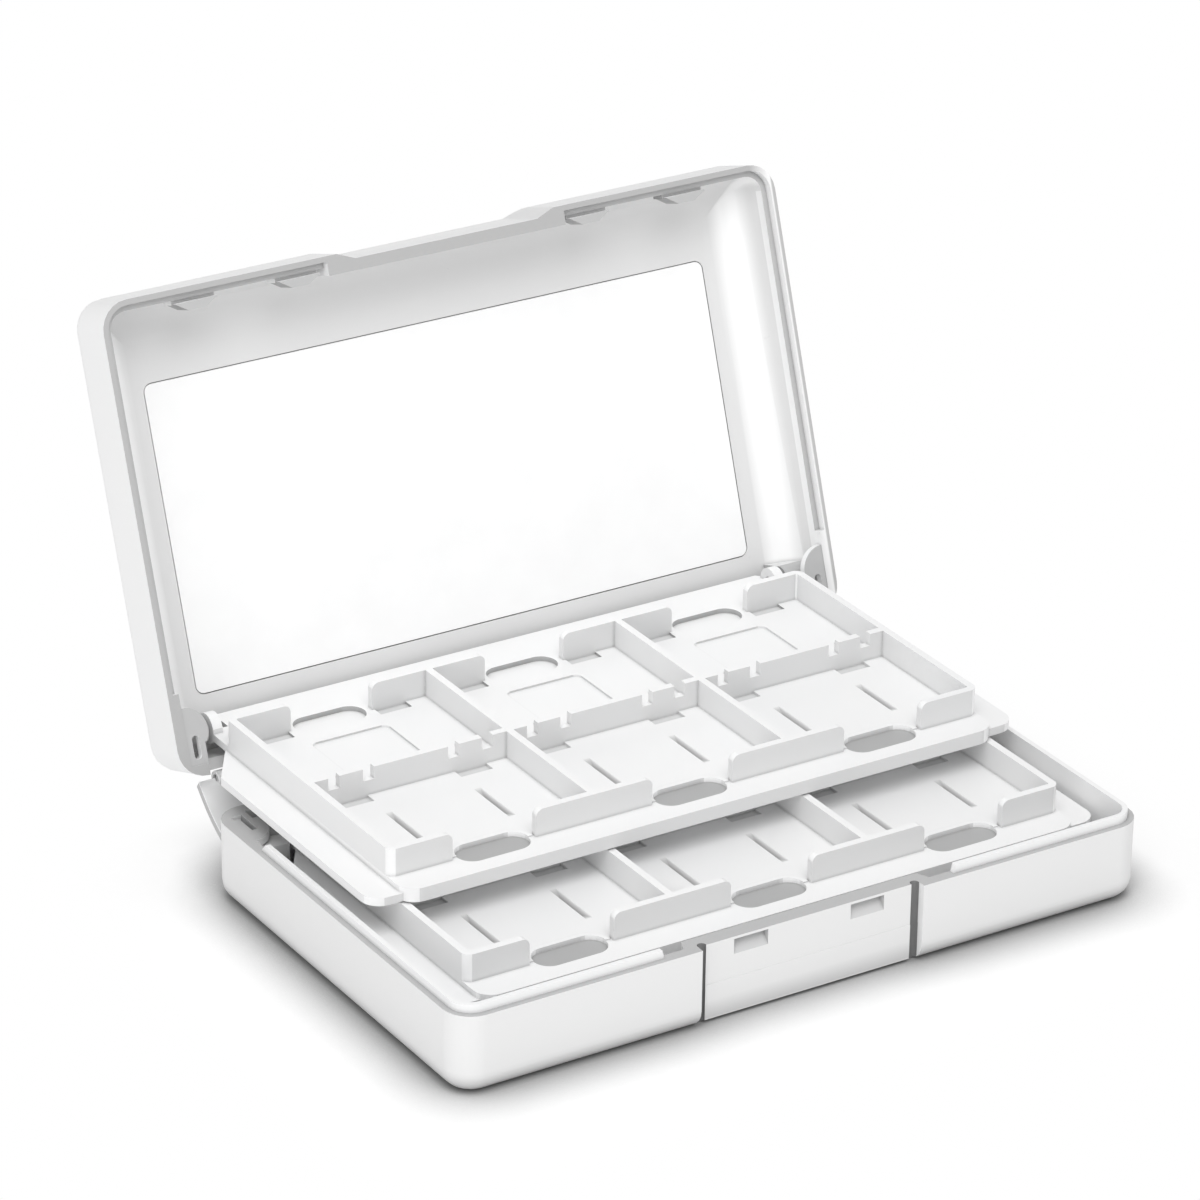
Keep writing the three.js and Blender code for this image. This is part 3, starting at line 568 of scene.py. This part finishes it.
# Copy of a solid's mesh with its triangles joined into whole faces
def joined_faces(node_name, face_material, edge_material):
    mesh = frame["nodes"][node_name].data.copy()
    mesh.materials.clear()
    mesh.materials.append(face_material)
    mesh.materials.append(edge_material)
    work = bmesh.new()
    work.from_mesh(mesh)
    bmesh.ops.remove_doubles(work, verts=work.verts, dist=MERGE_DISTANCE)
    bmesh.ops.dissolve_limit(work, angle_limit=FLAT_ANGLE, verts=work.verts, edges=work.edges)
    for face in work.faces:
        face.material_index = FACE_SLOT
        face.smooth = True
    work.to_mesh(mesh)
    work.free()
    return mesh


def rounded_edges(node_name, mesh, edge):
    draft = bpy.data.objects.new(node_name + "_draft", mesh)
    scene.collection.objects.link(draft)
    rounding = draft.modifiers.new("edge_round", "BEVEL")
    rounding.width = edge
    rounding.segments = EDGE_SEGMENTS
    rounding.limit_method = "ANGLE"
    rounding.angle_limit = SHARP_ANGLE
    rounding.material = EDGE_SLOT
    rounding.harden_normals = True
    rounding.use_clamp_overlap = True
    flatness = draft.modifiers.new("flat_faces", "WEIGHTED_NORMAL")
    flatness.keep_sharp = True
    bpy.context.view_layer.update()
    graph = bpy.context.evaluated_depsgraph_get()
    finished = bpy.data.meshes.new_from_object(draft.evaluated_get(graph))
    bpy.data.objects.remove(draft)
    finished.name = node_name + "_moulding"
    finished.set_sharp_from_angle(angle=SHARP_ANGLE)
    return finished


def add_piece(node_name, edge, face_material, edge_material, body):
    mesh = joined_faces(node_name, face_material, edge_material)
    finished = rounded_edges(node_name, mesh, edge)
    # Painted light and shade on the pieces that have it
    if node_name in painted_shading:
        painted_shading[node_name](finished)
    piece = bpy.data.objects.new(node_name + "_moulding", finished)
    scene.collection.objects.link(piece)
    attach(piece, body)
    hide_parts(node_name)


# Each kind of moulding: its edge rounding, its face plastic, and its edge plastic, which on the shell and
# trays is a lighter painted highlight
finishes = {
    "shell_plastic": (SHELL_EDGE, plastics["shell_plastic"], plastics["shell_edge_highlight"]),
    "tray_plastic": (TRAY_EDGE, plastics["tray_plastic"], plastics["tray_edge_highlight"]),
    "pin_plastic": (PIN_EDGE, plastics["pin_plastic"], plastics["pin_plastic"]),
    "insert_sheet": (SHEET_EDGE, insert_stock, insert_stock),
}
for body, members in bodies.items():
    for node_name in members:
        edge, face_material, edge_material = finishes[slots[node_name]]
        add_piece(node_name, edge, face_material, edge_material, body)


# Floor: shaded close to the case, and fading to plain white away from it

def shaded_contact(nodes, links):
    contact = nodes.new("ShaderNodeAmbientOcclusion")
    contact.samples = CONTACT_SAMPLES
    contact.inputs["Distance"].default_value = CONTACT_REACH
    darkest = grey(FLOOR_LEVEL * (1 - CONTACT_SHADE))
    stops = ((CONTACT_FULL, darkest), (1.0, grey(FLOOR_LEVEL)))
    return colour_ramp(nodes, links, contact.outputs["AO"], stops)


# Amount that grows from 0 at the case's sides to 1 where the fade ends
def distance_fade(nodes, links):
    place = nodes.new("ShaderNodeTexCoord")
    half_sizes = (cad_high[0], -cad_low[1], 0.0)
    unsigned = vector_step(nodes, links, "ABSOLUTE", place.outputs["Object"])
    past = vector_step(nodes, links, "SUBTRACT", unsigned.outputs["Vector"], half_sizes)
    outside = vector_step(nodes, links, "MAXIMUM", past.outputs["Vector"], (0.0, 0.0, 0.0))
    reach = vector_step(nodes, links, "LENGTH", outside.outputs["Vector"])
    fade = nodes.new("ShaderNodeMapRange")
    fade.interpolation_type = "SMOOTHSTEP"
    fade.inputs["From Max"].default_value = FLOOR_FADE
    links.new(reach.outputs["Value"], fade.inputs["Value"])
    return fade.outputs["Result"]


def floor_paint():
    material, nodes, links, shader = material_tree("floor_paint")
    links.new(shaded_contact(nodes, links), shader.inputs["Base Color"])
    shader.inputs["Roughness"].default_value = FLOOR_ROUGHNESS
    shader.inputs["Specular IOR Level"].default_value = 0.0

    path = nodes.new("ShaderNodeLightPath").outputs
    seen = arithmetic(nodes, links, "MAXIMUM", path["Is Camera Ray"], path["Is Glossy Ray"])
    any_view = arithmetic(nodes, links, "MAXIMUM", seen, path["Is Transmission Ray"])
    share = arithmetic(nodes, links, "MULTIPLY", any_view, distance_fade(nodes, links))
    glow = nodes.new("ShaderNodeEmission")
    surface = nodes.new("ShaderNodeMixShader")
    links.new(share, surface.inputs["Fac"])
    links.new(shader.outputs["BSDF"], surface.inputs[1])
    links.new(glow.outputs["Emission"], surface.inputs[2])
    links.new(surface.outputs["Shader"], nodes["Material Output"].inputs["Surface"])
    return material


floor_mesh = bpy.data.meshes.new("floor")
corner_signs = ((-1, -1), (1, -1), (1, 1), (-1, 1))
floor_corners = [(x * FLOOR_HALF, y * FLOOR_HALF, 0.0) for x, y in corner_signs]
floor_mesh.from_pydata(floor_corners, [], [(0, 1, 2, 3)])
floor_mesh.materials.append(floor_paint())
floor = bpy.data.objects.new("floor", floor_mesh)
scene.collection.objects.link(floor)


# Light

def add_surroundings():
    world = bpy.data.worlds.new("studio")
    scene.world = world
    world.use_nodes = True
    sky = world.node_tree.nodes["Background"]
    sky.inputs["Color"].default_value = grey(1.0)
    sky.inputs["Strength"].default_value = WORLD_LEVEL


def add_lamp(name, place, aim, size, power):
    light = bpy.data.lights.new(name, "AREA")
    light.shape = "RECTANGLE"
    light.size, light.size_y = size
    light.energy = power
    lamp = bpy.data.objects.new(name, light)
    lamp.location = place
    lamp.rotation_euler = (Vector(aim) - Vector(place)).to_track_quat("-Z", "Y").to_euler()
    scene.collection.objects.link(lamp)


add_surroundings()
for name, (place, aim, size, power) in LAMPS.items():
    add_lamp(name, place, aim, size, power)


# Camera

def add_camera():
    azimuth = math.radians(VIEW_AZIMUTH)
    elevation = math.radians(VIEW_ELEVATION)
    roll = math.radians(VIEW_ROLL)
    back = Vector((
        math.sin(azimuth) * math.cos(elevation),
        -math.cos(azimuth) * math.cos(elevation),
        math.sin(elevation),
    ))
    level_right = Vector((math.cos(azimuth), math.sin(azimuth), 0.0))
    level_up = back.cross(level_right)
    right = level_right * math.cos(roll) + level_up * math.sin(roll)
    upward = level_up * math.cos(roll) - level_right * math.sin(roll)
    camera_data = bpy.data.cameras.new("camera")
    camera_data.sensor_width = SENSOR
    camera_data.lens = SENSOR * FOCAL_PIXELS / IMAGE_SIZE
    camera_data.clip_start = CLIP_NEAR
    camera_data.clip_end = CLIP_FAR
    camera = bpy.data.objects.new("camera", camera_data)
    eye = VIEW_AIM + back * VIEW_DISTANCE + right * VIEW_RIGHT + upward * VIEW_UP
    turn = Matrix((right, upward, back)).transposed()
    camera.matrix_world = Matrix.Translation(eye) @ turn.to_4x4()
    scene.collection.objects.link(camera)
    scene.camera = camera


add_camera()
scene.view_settings.view_transform = "Standard"

bpy.context.view_layer.update()
